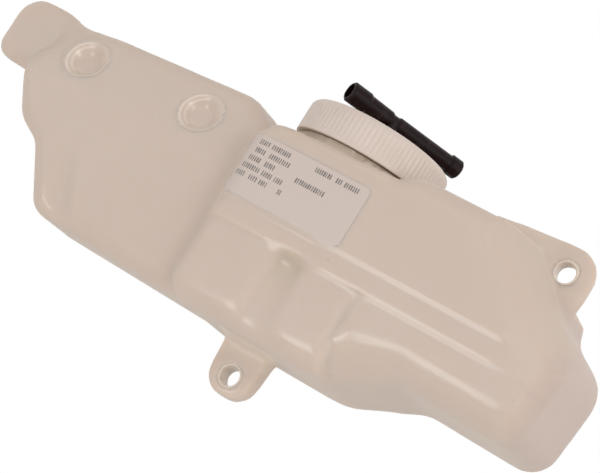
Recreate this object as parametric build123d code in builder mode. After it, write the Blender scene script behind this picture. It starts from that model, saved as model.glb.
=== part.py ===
import math
import os

from build123d import *

# Coolant expansion tank, millimetres. +Z is the filler neck's axis, pointing up. -Y is the front.
# The origin is the centre of the lower lug's hole, in the parting plane.

# Moulding
WALL = 3.0
EDGE = 12.0
BACK_EDGE = 8.0

# Deep block
BLOCK_LEFT = -42.0
BLOCK_RIGHT = 142.3
RIGHT_DRAFT = 5.0
BLOCK_FRONT = 38.0
BLOCK_BACK = 42.0
BLOCK_FLOOR = 16.5
BLOCK_STEP_FLOOR = 32.6
STEP_FLOOR_FALL = 1.2
BLOCK_STEP_START = 42.0
BLOCK_STEP_END = 77.0
NECK_SEAT = 108.2
NECK_SEAT_RISE = 2.0
BLOCK_TOP = 117.0
SEAT_RIGHT = 28.0
SEAT_RUN = 12.0
RECESS_R = 39.5
RECESS_SLOPE = 14.0
SHOULDER_LOW = 80.0
SHOULDER_HIGH = 93.0
SHOULDER_IN = 121.0
CORNER_X = 116.0

# Stepped front panel
STEP = 1.5
PANEL_EDGE = 69.2
PAD_EDGE = 58.6

# Channel and groove in the lower front
CHANNEL_X = 8.8
CHANNEL_WIDTH = 16.5
CHANNEL_DEPTH = 3.0
CHANNEL_TOP = 60.0
CHANNEL_EDGE = 2.0
GROOVE_X = 44.5
GROOVE_WIDTH = 5.0
GROOVE_DEPTH = 1.5
GROOVE_EDGE = 0.4

# Arm
ARM_FRONT = 24.0
ARM_BACK = 26.0
ARM_EDGE = 10.0
ARM_CREASE = 81.0
ARM_LEAN = 0.32
ARM_CREST_X = -63.5
ARM_CREST = 119.0
ARM_END_X = -169.0
ARM_END_TOP = 112.3

# Round dimples in the arm
DIMPLE_R = 10.0
DIMPLE_FLOOR_R = 5.5
DIMPLE_DEPTH = 5.0
DIMPLE_EDGE = 1.8
DIMPLES = ((-148.0, 95.5), (-79.0, 98.5))

# Slanting hollow in the arm's lower corner
HOLLOW_R = 16.0
HOLLOW_TOP = (-129.0, 62.0)
HOLLOW_LOW = (-111.0, 17.0)
HOLLOW_DEPTH = 3.2

# Ear and lugs
EAR_LEFT = -208.5
EAR_BOTTOM = 81.0
EAR_TOP = 115.4
EAR_THICK = 11.0
EAR_ROOT_THICK = 24.0
LUG_THICK = 11.0
LUG_R = 11.0
LUG_ROOT = 26.0
LUG_EDGE = 3.0
HOLE_R = 4.75
UPPER_X = 110.0
UPPER_Z = 113.0
UPPER_THICK = 8.0
UPPER_RIGHT = 122.7
UPPER_TOP = 126.2
SLOPE_START = (88.5, 104.5)
SLOPE_END = (136.0, 62.6)
SLOPE_FOOT = 15.0
SLOPE_RUN = 22.0
SLOPE_PROUD = 0.4
POCKET_R = 11.5
POCKET_SLOPE = 5.0

# Filler neck
NECK_R = 30.0
NECK_BORE_R = 26.5
NECK_TOP = 125.4
NECK_RING_R = 35.0
NECK_RING_TOP = 110.9

# Label
LABEL_LEFT = -39.0
LABEL_WIDTH = 65.5
LABEL_LOW = 69.6
LABEL_HEIGHT = 30.0
LABEL_THICK = 0.25
LABEL_CORNER = 2.5

# Filler cap and its seal
CAP_R = 36.5
CAP_LOW = 111.4
CAP_TOP = 130.0
CAP_SKIRT_R = 32.6
CAP_PLATE = 2.6
CAP_EDGE = 4.0
RIB_COUNT = 90
RIB_SIZE = 0.6
RIB_LOW = 112.6
RIB_HIGH = 126.0
BOSS_R = 8.5
BOSS_HIGH = 2.0
SEAL_R = 29.5
SEAL_BORE_R = 21.0

# Vent tee
TEE_Z = 139.4
TEE_TURN = 47.0
TEE_BORE_R = 2.75
TEE_MOUTH_R = 3.7
TEE_MOUTH = 5.0
TEE_SHORT = 26.6
TEE_SHORT_R = 4.5
TEE_SHORT_COLLAR_R = 5.1
TEE_SHORT_COLLAR = 11.0
TEE_LONG = 40.8
TEE_LONG_R = 4.1
TEE_LONG_COLLAR_R = 4.9
TEE_LONG_COLLAR = 6.0
TEE_WAIST_R = 3.5
STEM_R = 4.0
STEM_BORE_R = 2.0
STEM_CLEARANCE = 0.06
FLANGE_R = 6.5
FLANGE_HIGH = 2.0
BEAD_R = 5.0
BEAD_HIGH = 1.4


def outline(points):
    """Closed flat outline: each point is x, z and the radius of its corner."""
    with BuildSketch() as flat:
        with BuildLine():
            Polyline(*[(x, z) for x, z, _ in points], close=True)
        make_face()
        for x, z, radius in points:
            if radius > 0:
                fillet(flat.vertices().sort_by_distance(Vector(x, z, 0))[0], radius)
    return flat.sketch


def rim(part, inside):
    """Edges between the faces that pass a test and the faces beside them."""
    chosen = part.faces().filter_by(inside)
    return [e for e in chosen.edges() if sum(any(e.is_same(o) for o in f.edges()) for f in chosen) == 1]


def block_form(front, inset):
    """The deep block as a plain rounded form, its front at -front, shrunk by inset all round."""
    with BuildPart() as form:
        with BuildSketch(Plane.XZ.offset(front - inset)):
            add(outline([
                (BLOCK_LEFT + inset, BLOCK_FLOOR + inset, 13 - inset),
                (BLOCK_STEP_START - inset / 2, BLOCK_FLOOR + inset, 16),
                (BLOCK_STEP_END - inset / 2, BLOCK_STEP_FLOOR + inset, 20),
                (BLOCK_RIGHT - RIGHT_DRAFT - inset, BLOCK_STEP_FLOOR - STEP_FLOOR_FALL + inset, 14 - inset),
                (BLOCK_RIGHT - inset, SHOULDER_LOW - inset / 2, 13 - inset),
                (SHOULDER_IN - inset, SHOULDER_HIGH, 8),
                (CORNER_X - inset, BLOCK_TOP - inset, 13 - inset),
                (SEAT_RIGHT + SEAT_RUN + inset / 2, BLOCK_TOP - inset, 16),
                (SEAT_RIGHT + inset / 2, NECK_SEAT + NECK_SEAT_RISE - inset, 8),
                (BLOCK_LEFT + inset, NECK_SEAT - inset, 13 - inset),
            ]))
        extrude(amount=-(front + BLOCK_BACK - 2 * inset))
        ends = form.faces().sort_by(Axis.Y)
        fillet(ends[0].edges(), EDGE - inset)
        fillet(form.faces().sort_by(Axis.Y)[-1].edges(), BACK_EDGE - inset)
    return form.part


def above(form, front, low):
    """The layer of a form that stands above a sloped lower edge in the front panel."""
    with BuildPart() as layer:
        add(form)
        with BuildSketch(Plane.YZ.offset(-60)):
            with BuildLine():
                Polyline((-front - 9, low + 9), (-front + STEP, low - STEP), (0, low - STEP),
                         (0, 140), (-front - 9, 140), close=True)
            make_face()
        extrude(amount=220, mode=Mode.INTERSECT)
    return layer.part


def arm_form(inset):
    """The shallower arm on the left, its upper face leaning back above a crease."""
    front = ARM_FRONT - inset
    with BuildPart() as form:
        with BuildSketch(Plane.XZ.offset(front)):
            add(outline([
                (ARM_END_X + inset, ARM_END_TOP - inset, 12 - inset),
                (-171.0 + inset, 95.0, 20),
                (-181.0 + inset, 82.0, 12 - inset),
                (-164.0 + inset, 56.0 + inset / 2, 18),
                (-149.0 + inset, 48.5 + inset / 2, 16),
                (-129.0 + inset, 19.0 + inset, 12 - inset),
                (-20.0, 17.0 + inset, 0),
                (-20.0, 100.0 - inset, 0),
                (-38.0, 104.0 - inset, 0),
                (ARM_CREST_X, ARM_CREST - inset, 16),
            ]))
        extrude(amount=-(front + ARM_BACK - inset))
        with BuildSketch(Plane.YZ.offset(-220)):
            with BuildLine():
                Polyline((-front, ARM_CREASE), (-front + 50 * ARM_LEAN, ARM_CREASE + 50),
                         (-front - 9, ARM_CREASE + 50), (-front - 9, ARM_CREASE), close=True)
            make_face()
        extrude(amount=220, mode=Mode.SUBTRACT)
        crease = form.edges().filter_by(lambda e: abs(e.center().Z - ARM_CREASE) < 0.01
                                        and abs(e.center().Y + front) < 0.01)
        fillet(crease, 30)
        back = form.faces().sort_by(Axis.Y)[-1].edges().filter_by(lambda e: e.center().X < -20.1)
        fillet(back, ARM_EDGE - inset)
        rims = rim(form.part, lambda f: f.normal_at().Y < -0.5)
        fillet([e for e in rims if e.center().X < -20.1], ARM_EDGE - inset)
    return form.part


def plate(points, thick, edge):
    """A flat plate in the parting plane with rounded edges."""
    with BuildPart() as form:
        with BuildSketch(Plane.XZ):
            add(outline(points))
        extrude(amount=thick / 2, both=True)
        ends = form.faces().sort_by(Axis.Y)
        fillet(ends[0].edges() + ends[-1].edges(), edge)
    return form.part


def channel_form(x, width, depth, top, grow):
    """An upright channel with a round top and sloping sides in the lower front, grown on all sides."""
    half = width / 2 - depth * 0.5 + grow
    with BuildPart() as form:
        with BuildSketch(Plane.XZ.offset(BLOCK_FRONT - 2 * STEP - depth - grow)):
            add(outline([
                (x - half, 0.0, 0),
                (x + half, 0.0, 0),
                (x + half, top - depth * 0.5 + grow, half * 0.7),
                (x - half, top - depth * 0.5 + grow, half * 0.7),
            ]))
        extrude(amount=depth + grow + 4, taper=-26)
    return form.part


def cut_channel(form, x, width, depth, top, edge):
    """A form with one channel cut into its lower front and the channel's mouth rounded."""
    low, high = x - width / 2 - 2.5, x + width / 2 + 2.5
    with BuildPart() as cut:
        add(form)
        add(channel_form(x, width, depth, top, 0.0), mode=Mode.SUBTRACT)
        fillet(rim(cut.part, lambda f: low < f.bounding_box().min.X and f.bounding_box().max.X < high
                   and f.bounding_box().max.Y < -20), edge)
    return cut.part


def dimple_form(x, z, grow):
    """A conical dimple pressed square into the arm's leaning face."""
    lean = Vector(0, -1, ARM_LEAN).normalized()
    y = -ARM_FRONT + (z - ARM_CREASE) * ARM_LEAN
    with BuildPart() as form:
        floor = Plane(origin=Vector(x, y, z) - lean * (DIMPLE_DEPTH + grow), x_dir=(1, 0, 0), z_dir=lean)
        with BuildSketch(floor):
            Circle(DIMPLE_FLOOR_R + grow)
        slope = math.degrees(math.atan((DIMPLE_R - DIMPLE_FLOOR_R) / DIMPLE_DEPTH))
        extrude(amount=DIMPLE_DEPTH + grow + 3, taper=-slope)
    return form.part


def hollow_form(grow):
    """A round bar lying along the slanting hollow, sinking deeper towards the bottom edge."""
    sink = HOLLOW_R - HOLLOW_DEPTH
    top = Vector(HOLLOW_TOP[0], -ARM_FRONT - HOLLOW_R, HOLLOW_TOP[1])
    low = Vector(HOLLOW_LOW[0], -ARM_FRONT - sink, HOLLOW_LOW[1])
    along = (low - top).normalized()
    with BuildPart() as form:
        with BuildSketch(Plane(origin=top - along * 30, z_dir=along)):
            Circle(HOLLOW_R + grow)
        extrude(amount=(low - top).length + 60)
    return form.part


def slope_form(back, grow):
    """The cut that lets the front panel round off and fall to the upper lug, ending at the depth back."""
    start = Vector(SLOPE_START[0], 0, SLOPE_START[1])
    along = (Vector(SLOPE_END[0], 0, SLOPE_END[1]) - start).normalized()
    across = Vector(-along.Z, 0, along.X)
    deep = BLOCK_FRONT + SLOPE_PROUD - grow
    foot = math.degrees(math.asin(back / deep))
    with BuildPart() as form:
        with BuildSketch(Plane(origin=start - along * 60, x_dir=across, z_dir=along)):
            with BuildLine():
                brow = EllipticalCenterArc(
                    (SLOPE_FOOT - SLOPE_RUN, 0), SLOPE_RUN - grow, deep, foot, arc_size=90 - foot
                )
                Polyline(
                    brow @ 1,
                    (SLOPE_FOOT - SLOPE_RUN, BLOCK_FRONT + 30),
                    (90, BLOCK_FRONT + 30),
                    (90, back),
                    brow @ 0,
                )
            make_face()
        extrude(amount=180)
    return form.part


def pocket_form(near, grow):
    """The round recess behind the upper lug that clears its bolt."""
    with BuildPart() as form:
        with BuildSketch(Plane.XZ.offset(-near)):
            with Locations((UPPER_X, UPPER_Z)):
                Circle(POCKET_R + grow)
        extrude(amount=-60, taper=-POCKET_SLOPE)
    return form.part


def recess_form(grow):
    """The round space in the block's top that the filler cap turns in."""
    with BuildPart() as form:
        with BuildSketch(Plane.XY.offset(NECK_SEAT + NECK_SEAT_RISE - grow)):
            Circle(RECESS_R + grow)
        extrude(amount=BLOCK_TOP - NECK_SEAT + 2 * grow, taper=-RECESS_SLOPE)
    return form.part


outer_block = cut_channel(
    cut_channel(block_form(BLOCK_FRONT - 2 * STEP, 0.0), CHANNEL_X, CHANNEL_WIDTH, CHANNEL_DEPTH,
                CHANNEL_TOP, CHANNEL_EDGE),
    GROOVE_X, GROOVE_WIDTH, GROOVE_DEPTH, PAD_EDGE - STEP, GROOVE_EDGE)
outer_band = above(block_form(BLOCK_FRONT - STEP, 0.0), BLOCK_FRONT - STEP, PAD_EDGE)
outer_panel = above(block_form(BLOCK_FRONT, 0.0), BLOCK_FRONT, PANEL_EDGE)
outer_arm = arm_form(0.0)
slope = slope_form(UPPER_THICK / 2, 0.0)
pocket = pocket_form(UPPER_THICK / 2, 0.0)
ear = plate([
    (EAR_LEFT, EAR_BOTTOM, 8),
    (EAR_LEFT, EAR_TOP, 13),
    (-184.0, EAR_TOP, 20),
    (-168.0, ARM_END_TOP, 0),
    (-150.0, ARM_END_TOP, 0),
    (-150.0, 70.0, 0),
    (-176.0, EAR_BOTTOM - 2, 0),
], EAR_THICK, 3.5)
ear_root = plate([
    (-181.0, ARM_END_TOP + 0.6, 4.5),
    (-171.5, 93.0, 5),
    (-182.0, 90.0, 4.5),
    (-185.5, 84.0, 4.5),
    (-180.0, 77.0, 6),
    (-158.0, 77.0, 0),
    (-158.0, ARM_END_TOP - 1.0, 0),
], EAR_ROOT_THICK, 4.0)
lower_lug = plate([
    (-LUG_R, -LUG_R + 1.5, LUG_R - 0.5),
    (LUG_R, -LUG_R + 1.5, LUG_R - 0.5),
    (LUG_ROOT / 2, 13.0, 0),
    (LUG_ROOT / 2 + 1.5, 24.0, 0),
    (-LUG_ROOT / 2 - 1.5, 24.0, 0),
    (-LUG_ROOT / 2, 13.0, 0),
], LUG_THICK, 2.5)
upper_lug = plate([
    (56.0, 108.0, 0),
    (63.0, 121.8, 12),
    (82.0, 124.4, 30),
    (106.0, UPPER_TOP, 30),
    (UPPER_RIGHT, UPPER_TOP, 12.5),
    (UPPER_RIGHT, 94.0, 10),
    (130.0, 80.0, 0),
    (100.0, 80.0, 0),
], UPPER_THICK, 3.0)
inner_block = block_form(BLOCK_FRONT - 2 * STEP, WALL)
inner_arm = arm_form(WALL)
with BuildPart() as cavity:
    add(inner_block)
    add(inner_arm)
    add(slope_form(0.0, WALL + 1), mode=Mode.SUBTRACT)
    add(pocket_form(-UPPER_THICK / 2, WALL), mode=Mode.SUBTRACT)
    add(recess_form(WALL), mode=Mode.SUBTRACT)
    add(channel_form(CHANNEL_X, CHANNEL_WIDTH, CHANNEL_DEPTH, CHANNEL_TOP, WALL), mode=Mode.SUBTRACT)
    for dimple_x, dimple_z in DIMPLES:
        add(dimple_form(dimple_x, dimple_z, WALL), mode=Mode.SUBTRACT)
    add(hollow_form(WALL), mode=Mode.SUBTRACT)

with BuildPart() as arm:
    add(outer_arm)
    for dimple_x, dimple_z in DIMPLES:
        add(dimple_form(dimple_x, dimple_z, 0.0), mode=Mode.SUBTRACT)
    fillet(arm.edges().filter_by(GeomType.CIRCLE).filter_by(
        lambda e: e.length > 30 and e.center().Y < 0 and e.is_closed), DIMPLE_EDGE)
    add(hollow_form(0.0), mode=Mode.SUBTRACT)

with BuildPart() as tank:
    add(outer_block)
    add(outer_band)
    add(outer_panel)
    add(slope, mode=Mode.SUBTRACT)
    add(pocket, mode=Mode.SUBTRACT)
    add(recess_form(0.0), mode=Mode.SUBTRACT)
    add(arm.part)
    add(ear)
    add(ear_root)
    add(upper_lug)
    add(lower_lug)
    fillet(tank.edges().filter_by(
        lambda e: abs(e.center().Z - BLOCK_FLOOR) < 0.5 and abs(e.center().X) < LUG_ROOT / 2 + 2
        and abs(e.center().Y) < LUG_THICK / 2 + 1), LUG_EDGE)
    with BuildSketch(Plane.XY.offset(NECK_SEAT - WALL)):
        Circle(NECK_R)
    extrude(amount=NECK_TOP - NECK_SEAT + WALL)
    with BuildSketch(Plane.XY.offset(NECK_SEAT - WALL)):
        Circle(NECK_RING_R)
    extrude(amount=NECK_RING_TOP - NECK_SEAT + WALL)
    add(cavity.part, mode=Mode.SUBTRACT)
    with BuildSketch(Plane.XY.offset(NECK_SEAT - 3 * WALL)):
        Circle(NECK_BORE_R)
    extrude(amount=NECK_TOP, mode=Mode.SUBTRACT)
    with BuildSketch(Plane.XZ):
        Circle(HOLE_R)
        with Locations((UPPER_X, UPPER_Z)):
            Circle(HOLE_R)
    extrude(amount=30, both=True, mode=Mode.SUBTRACT)

label_cover = block_form(BLOCK_FRONT, -LABEL_THICK)
panel_form = block_form(BLOCK_FRONT, 0.0)
with BuildPart() as label:
    add(label_cover)
    with BuildSketch(Plane.XZ.offset(20)):
        with Locations((LABEL_LEFT + LABEL_WIDTH / 2, LABEL_LOW + LABEL_HEIGHT / 2)):
            RectangleRounded(LABEL_WIDTH, LABEL_HEIGHT, LABEL_CORNER)
    extrude(amount=30, mode=Mode.INTERSECT)
    add(panel_form, mode=Mode.SUBTRACT)

with BuildPart() as cap:
    with BuildSketch(Plane.XY.offset(CAP_LOW)):
        Circle(CAP_R)
    extrude(amount=CAP_TOP - CAP_LOW)
    fillet(cap.faces().sort_by(Axis.Z)[-1].edges(), CAP_EDGE)
    with BuildSketch(Plane.XY.offset(RIB_LOW)):
        with PolarLocations(CAP_R, RIB_COUNT):
            RegularPolygon(radius=RIB_SIZE, side_count=4)
    extrude(amount=RIB_HIGH - RIB_LOW, mode=Mode.SUBTRACT)
    with BuildSketch(Plane.XY.offset(CAP_TOP)):
        Circle(BOSS_R)
    extrude(amount=BOSS_HIGH)
    with BuildSketch(Plane.XY.offset(CAP_LOW)):
        Circle(CAP_SKIRT_R)
    extrude(amount=CAP_TOP - CAP_PLATE - CAP_LOW, mode=Mode.SUBTRACT)
    with BuildSketch(Plane.XY.offset(CAP_LOW)):
        Circle(STEM_R + STEM_CLEARANCE)
    extrude(amount=CAP_TOP + BOSS_HIGH - CAP_LOW, mode=Mode.SUBTRACT)

with BuildPart() as seal:
    with BuildSketch(Plane.XY.offset(NECK_TOP)):
        Circle(SEAL_R)
        Circle(SEAL_BORE_R, mode=Mode.SUBTRACT)
    extrude(amount=CAP_TOP - CAP_PLATE - NECK_TOP)

turn = math.radians(TEE_TURN)
tee_plane = Plane(origin=(0, 0, TEE_Z), x_dir=(math.cos(turn), math.sin(turn), 0),
                  z_dir=(math.sin(turn), -math.cos(turn), 0))
with BuildPart() as tee:
    with BuildSketch(tee_plane):
        with BuildLine():
            Polyline(
                (-TEE_SHORT, 0),
                (-TEE_SHORT, TEE_SHORT_COLLAR_R - 0.8),
                (-TEE_SHORT + 0.8, TEE_SHORT_COLLAR_R),
                (-TEE_SHORT + TEE_SHORT_COLLAR - 1.2, TEE_SHORT_COLLAR_R),
                (-TEE_SHORT + TEE_SHORT_COLLAR, TEE_SHORT_R),
                (-3.0, TEE_SHORT_R - 0.3),
                (-1.2, TEE_WAIST_R),
                (1.2, TEE_WAIST_R),
                (2.4, TEE_LONG_R),
                (TEE_LONG - TEE_LONG_COLLAR - 0.8, TEE_LONG_R),
                (TEE_LONG - TEE_LONG_COLLAR, TEE_LONG_COLLAR_R),
                (TEE_LONG - 0.8, TEE_LONG_COLLAR_R),
                (TEE_LONG, TEE_LONG_COLLAR_R - 0.8),
                (TEE_LONG, 0),
                close=True,
            )
        make_face()
    revolve(axis=Axis(tee_plane.origin, tee_plane.x_dir))
    with BuildSketch(Plane.XY.offset(CAP_TOP - CAP_PLATE - BEAD_HIGH)):
        Circle(STEM_R)
    extrude(amount=TEE_Z - CAP_TOP + CAP_PLATE + BEAD_HIGH)
    with BuildSketch(Plane.XY.offset(CAP_TOP - CAP_PLATE - BEAD_HIGH)):
        Circle(BEAD_R)
    extrude(amount=BEAD_HIGH)
    with BuildSketch(Plane.XY.offset(CAP_TOP + BOSS_HIGH)):
        Circle(FLANGE_R)
    extrude(amount=FLANGE_HIGH)
    with BuildSketch(Plane.XY.offset(CAP_TOP - CAP_PLATE - BEAD_HIGH)):
        Circle(STEM_BORE_R)
    extrude(amount=TEE_Z - CAP_TOP + CAP_PLATE + BEAD_HIGH, mode=Mode.SUBTRACT)
    with BuildSketch(Plane(origin=tee_plane.origin, z_dir=tee_plane.x_dir)):
        Circle(TEE_BORE_R)
    extrude(amount=TEE_LONG + 1, mode=Mode.SUBTRACT)
    with BuildSketch(Plane(origin=tee_plane.origin, z_dir=-tee_plane.x_dir)):
        Circle(TEE_BORE_R)
    extrude(amount=TEE_SHORT + 1, mode=Mode.SUBTRACT)
    with BuildSketch(Plane(origin=tee_plane.origin - tee_plane.x_dir * TEE_SHORT, z_dir=tee_plane.x_dir)):
        Circle(TEE_MOUTH_R)
    extrude(amount=TEE_MOUTH, mode=Mode.SUBTRACT)

os.makedirs("parts", exist_ok=True)
tank.part.label = "tank_body"
export_step(tank.part, "parts/tank_body.step")
label.part.label = "label"
export_step(label.part, "parts/label.step")
cap.part.label = "filler_cap"
export_step(cap.part, "parts/filler_cap.step")
seal.part.label = "cap_seal"
export_step(seal.part, "parts/cap_seal.step")
tee.part.label = "vent_tee"
export_step(tee.part, "parts/vent_tee.step")
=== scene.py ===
"""Looks of a milky plastic coolant expansion tank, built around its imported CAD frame."""

import logging
import math
from dataclasses import dataclass, field
from enum import Enum
from typing import Any, Optional, Sequence, Union

import bpy
import numpy as np
from bpy.types import Material, Mesh, Object, World
from mathutils import Matrix, Vector


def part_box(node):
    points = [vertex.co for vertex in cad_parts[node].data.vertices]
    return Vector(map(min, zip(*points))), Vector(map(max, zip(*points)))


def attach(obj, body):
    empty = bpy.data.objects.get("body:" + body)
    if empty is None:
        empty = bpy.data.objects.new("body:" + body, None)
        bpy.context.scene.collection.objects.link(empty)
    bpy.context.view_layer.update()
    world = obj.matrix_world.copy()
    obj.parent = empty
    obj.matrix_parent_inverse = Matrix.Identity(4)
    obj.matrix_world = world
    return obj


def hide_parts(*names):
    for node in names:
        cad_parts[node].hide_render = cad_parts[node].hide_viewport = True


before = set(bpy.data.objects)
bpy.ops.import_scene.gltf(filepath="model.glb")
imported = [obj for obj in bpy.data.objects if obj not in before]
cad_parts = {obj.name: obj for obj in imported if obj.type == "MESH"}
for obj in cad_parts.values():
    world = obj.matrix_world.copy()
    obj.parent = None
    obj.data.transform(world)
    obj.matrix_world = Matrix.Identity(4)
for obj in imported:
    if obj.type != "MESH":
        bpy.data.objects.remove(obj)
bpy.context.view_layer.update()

MM = 0.001
Array = np.ndarray
Triple = tuple[float, float, float]
Colour = Triple
Noise = Triple
Edges = tuple[float, ...]
Places = tuple[tuple[float, float], ...]
Inputs = dict[Union[str, int], Any]
Operand = Union["Value", float]
WHITE = (1.0, 1.0, 1.0, 1.0)
# Colour of the hole sleeves: the tank's cream made lighter as painted light.
PAINTED_LIT_WALL: Colour = (0.700, 0.590, 0.490)
UPPER_HOLE = (110.0 * MM, 113.0 * MM)
LABEL_LEFT = -39.0 * MM
LABEL_LOW = 69.6 * MM
LABEL_HEIGHT = 30.0 * MM
log = logging.getLogger("expansion_tank")


class Body(Enum):
    """The bodies that carry the pieces made here."""

    TANK = "tank"
    CAP = "cap"


class Slot(Enum):
    """The record's finishes of the pieces made here."""

    TANK = "tank_plastic"
    LABEL = "label_film"
    CAP = "cap_plastic"


class Value:
    """A shader socket that turns arithmetic into Math nodes."""

    def __init__(self, shader: "Shader", socket: Any) -> None:
        """Keeps the socket and the shader that it belongs to."""
        self.shader = shader
        self.socket = socket

    def math(self, operation: str, *others: Operand) -> "Value":
        """One Math node on this value and any other operands."""
        return self.shader.maths(operation, self, *others)

    def __add__(self, other: Operand) -> "Value":
        """Sum."""
        return self.math("ADD", other)

    __radd__ = __add__

    def __mul__(self, other: Operand) -> "Value":
        """Product."""
        return self.math("MULTIPLY", other)

    __rmul__ = __mul__

    def __sub__(self, other: Operand) -> "Value":
        """Difference."""
        return self.math("SUBTRACT", other)

    def __rsub__(self, other: float) -> "Value":
        """Difference, with the number first."""
        return self.shader.maths("SUBTRACT", other, self)

    def __truediv__(self, other: Operand) -> "Value":
        """Quotient."""
        return self.math("DIVIDE", other)

    def __gt__(self, other: Operand) -> "Value":
        """1 where this is greater, otherwise 0."""
        return self.math("GREATER_THAN", other)

    def __lt__(self, other: Operand) -> "Value":
        """1 where this is less, otherwise 0."""
        return self.math("LESS_THAN", other)

    def floor(self) -> "Value":
        """Whole part."""
        return self.math("FLOOR")

    def fraction(self) -> "Value":
        """Part after the point."""
        return self.math("FRACT")

    def ramp(self, low: float, high: float) -> "Value":
        """Smooth step from 0 at low to 1 at high."""
        return self.shader.node(
            "ShaderNodeMapRange",
            {"Value": self, "From Min": low, "From Max": high},
            {"interpolation_type": "SMOOTHSTEP"},
        )


class Shader:
    """The nodes of a material or a world under construction."""

    def __init__(self, owner: Union[Material, World]) -> None:
        """Empties the owner's node tree."""
        owner.use_nodes = True
        self.owner = owner
        self.tree = owner.node_tree
        self.tree.nodes.clear()

    @classmethod
    def material(cls, name: str) -> "Shader":
        """Starts a new material of that name."""
        return cls(bpy.data.materials.new(name))

    def node(
        self,
        kind: str,
        inputs: Optional[Inputs] = None,
        settings: Optional[dict[str, Any]] = None,
        output: Union[str, int] = 0,
    ) -> Value:
        """Makes one node.

        Args:
            kind: the node's type.
            inputs: values or links by socket name or number.
            settings: properties, set first.
            output: the socket that is returned.

        Returns:
            The chosen output.
        """
        made = self.tree.nodes.new(kind)
        for key, value in (settings or {}).items():
            setattr(made, key, value)
        for key, value in (inputs or {}).items():
            if isinstance(value, Value):
                self.tree.links.new(value.socket, made.inputs[key])
            else:
                made.inputs[key].default_value = value
        return Value(self, made.outputs[output] if made.outputs else None)

    def maths(self, operation: str, *values: Operand) -> Value:
        """One Math node on values and numbers."""
        return self.node("ShaderNodeMath", dict(enumerate(values)), {"operation": operation})

    def place(self) -> Value:
        """Object coordinates, in metres in the frame."""
        return self.node("ShaderNodeTexCoord", output="Object")

    def axes(self) -> tuple[Value, Value, Value]:
        """Object coordinates as three values."""
        place = self.place()
        return tuple(self.node("ShaderNodeSeparateXYZ", {0: place}, output=k) for k in range(3))

    def ray(self, kind: str) -> Value:
        """1 for rays of one kind, such as Is Camera Ray, otherwise 0."""
        return self.node("ShaderNodeLightPath", output=kind)

    def noise(self, kind: Noise, where: Optional[Value] = None) -> Value:
        """Noise from 0 to 1, by its features per metre, detail and roughness."""
        scale, detail, rough = kind
        return self.node(
            "ShaderNodeTexNoise",
            {"Vector": where or self.place(), "Scale": scale, "Detail": detail, "Roughness": rough},
        )

    def attribute(self, name: str) -> Value:
        """A number kept on the mesh's points."""
        return self.node("ShaderNodeAttribute", settings={"attribute_name": name}, output="Fac")

    def mix(self, factor: Value, low: Union[Value, Colour], high: Union[Value, Colour]) -> Value:
        """Colour between two, by a factor."""
        ends = {6: low, 7: high}
        inputs = {k: v if isinstance(v, Value) else (*v, 1.0) for k, v in ends.items()}
        return self.node("ShaderNodeMix", {0: factor, **inputs}, {"data_type": "RGBA"}, 2)

    def bump(self, height: Value, depth: float, before: Optional[Value] = None) -> Value:
        """Surface relief.

        Args:
            height: height from 0 to 1.
            depth: the relief's height in metres.
            before: a normal to add to.

        Returns:
            The changed normal.
        """
        inputs: Inputs = {"Height": height, "Distance": depth, "Strength": 1.0}
        if before is not None:
            inputs["Normal"] = before
        return self.node("ShaderNodeBump", inputs)

    def surface(self, base: Value, rough: Value, normal: Value, others: Inputs) -> Material:
        """Ends the material in a Principled shader.

        Args:
            base: the colour.
            rough: the roughness.
            normal: the relief.
            others: further inputs.

        Returns:
            The finished material.
        """
        inputs = {"Base Color": base, "Roughness": rough, "Normal": normal, **others}
        shader = self.node("ShaderNodeBsdfPrincipled", inputs)
        self.node("ShaderNodeOutputMaterial", {"Surface": shader})
        return self.owner


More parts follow.
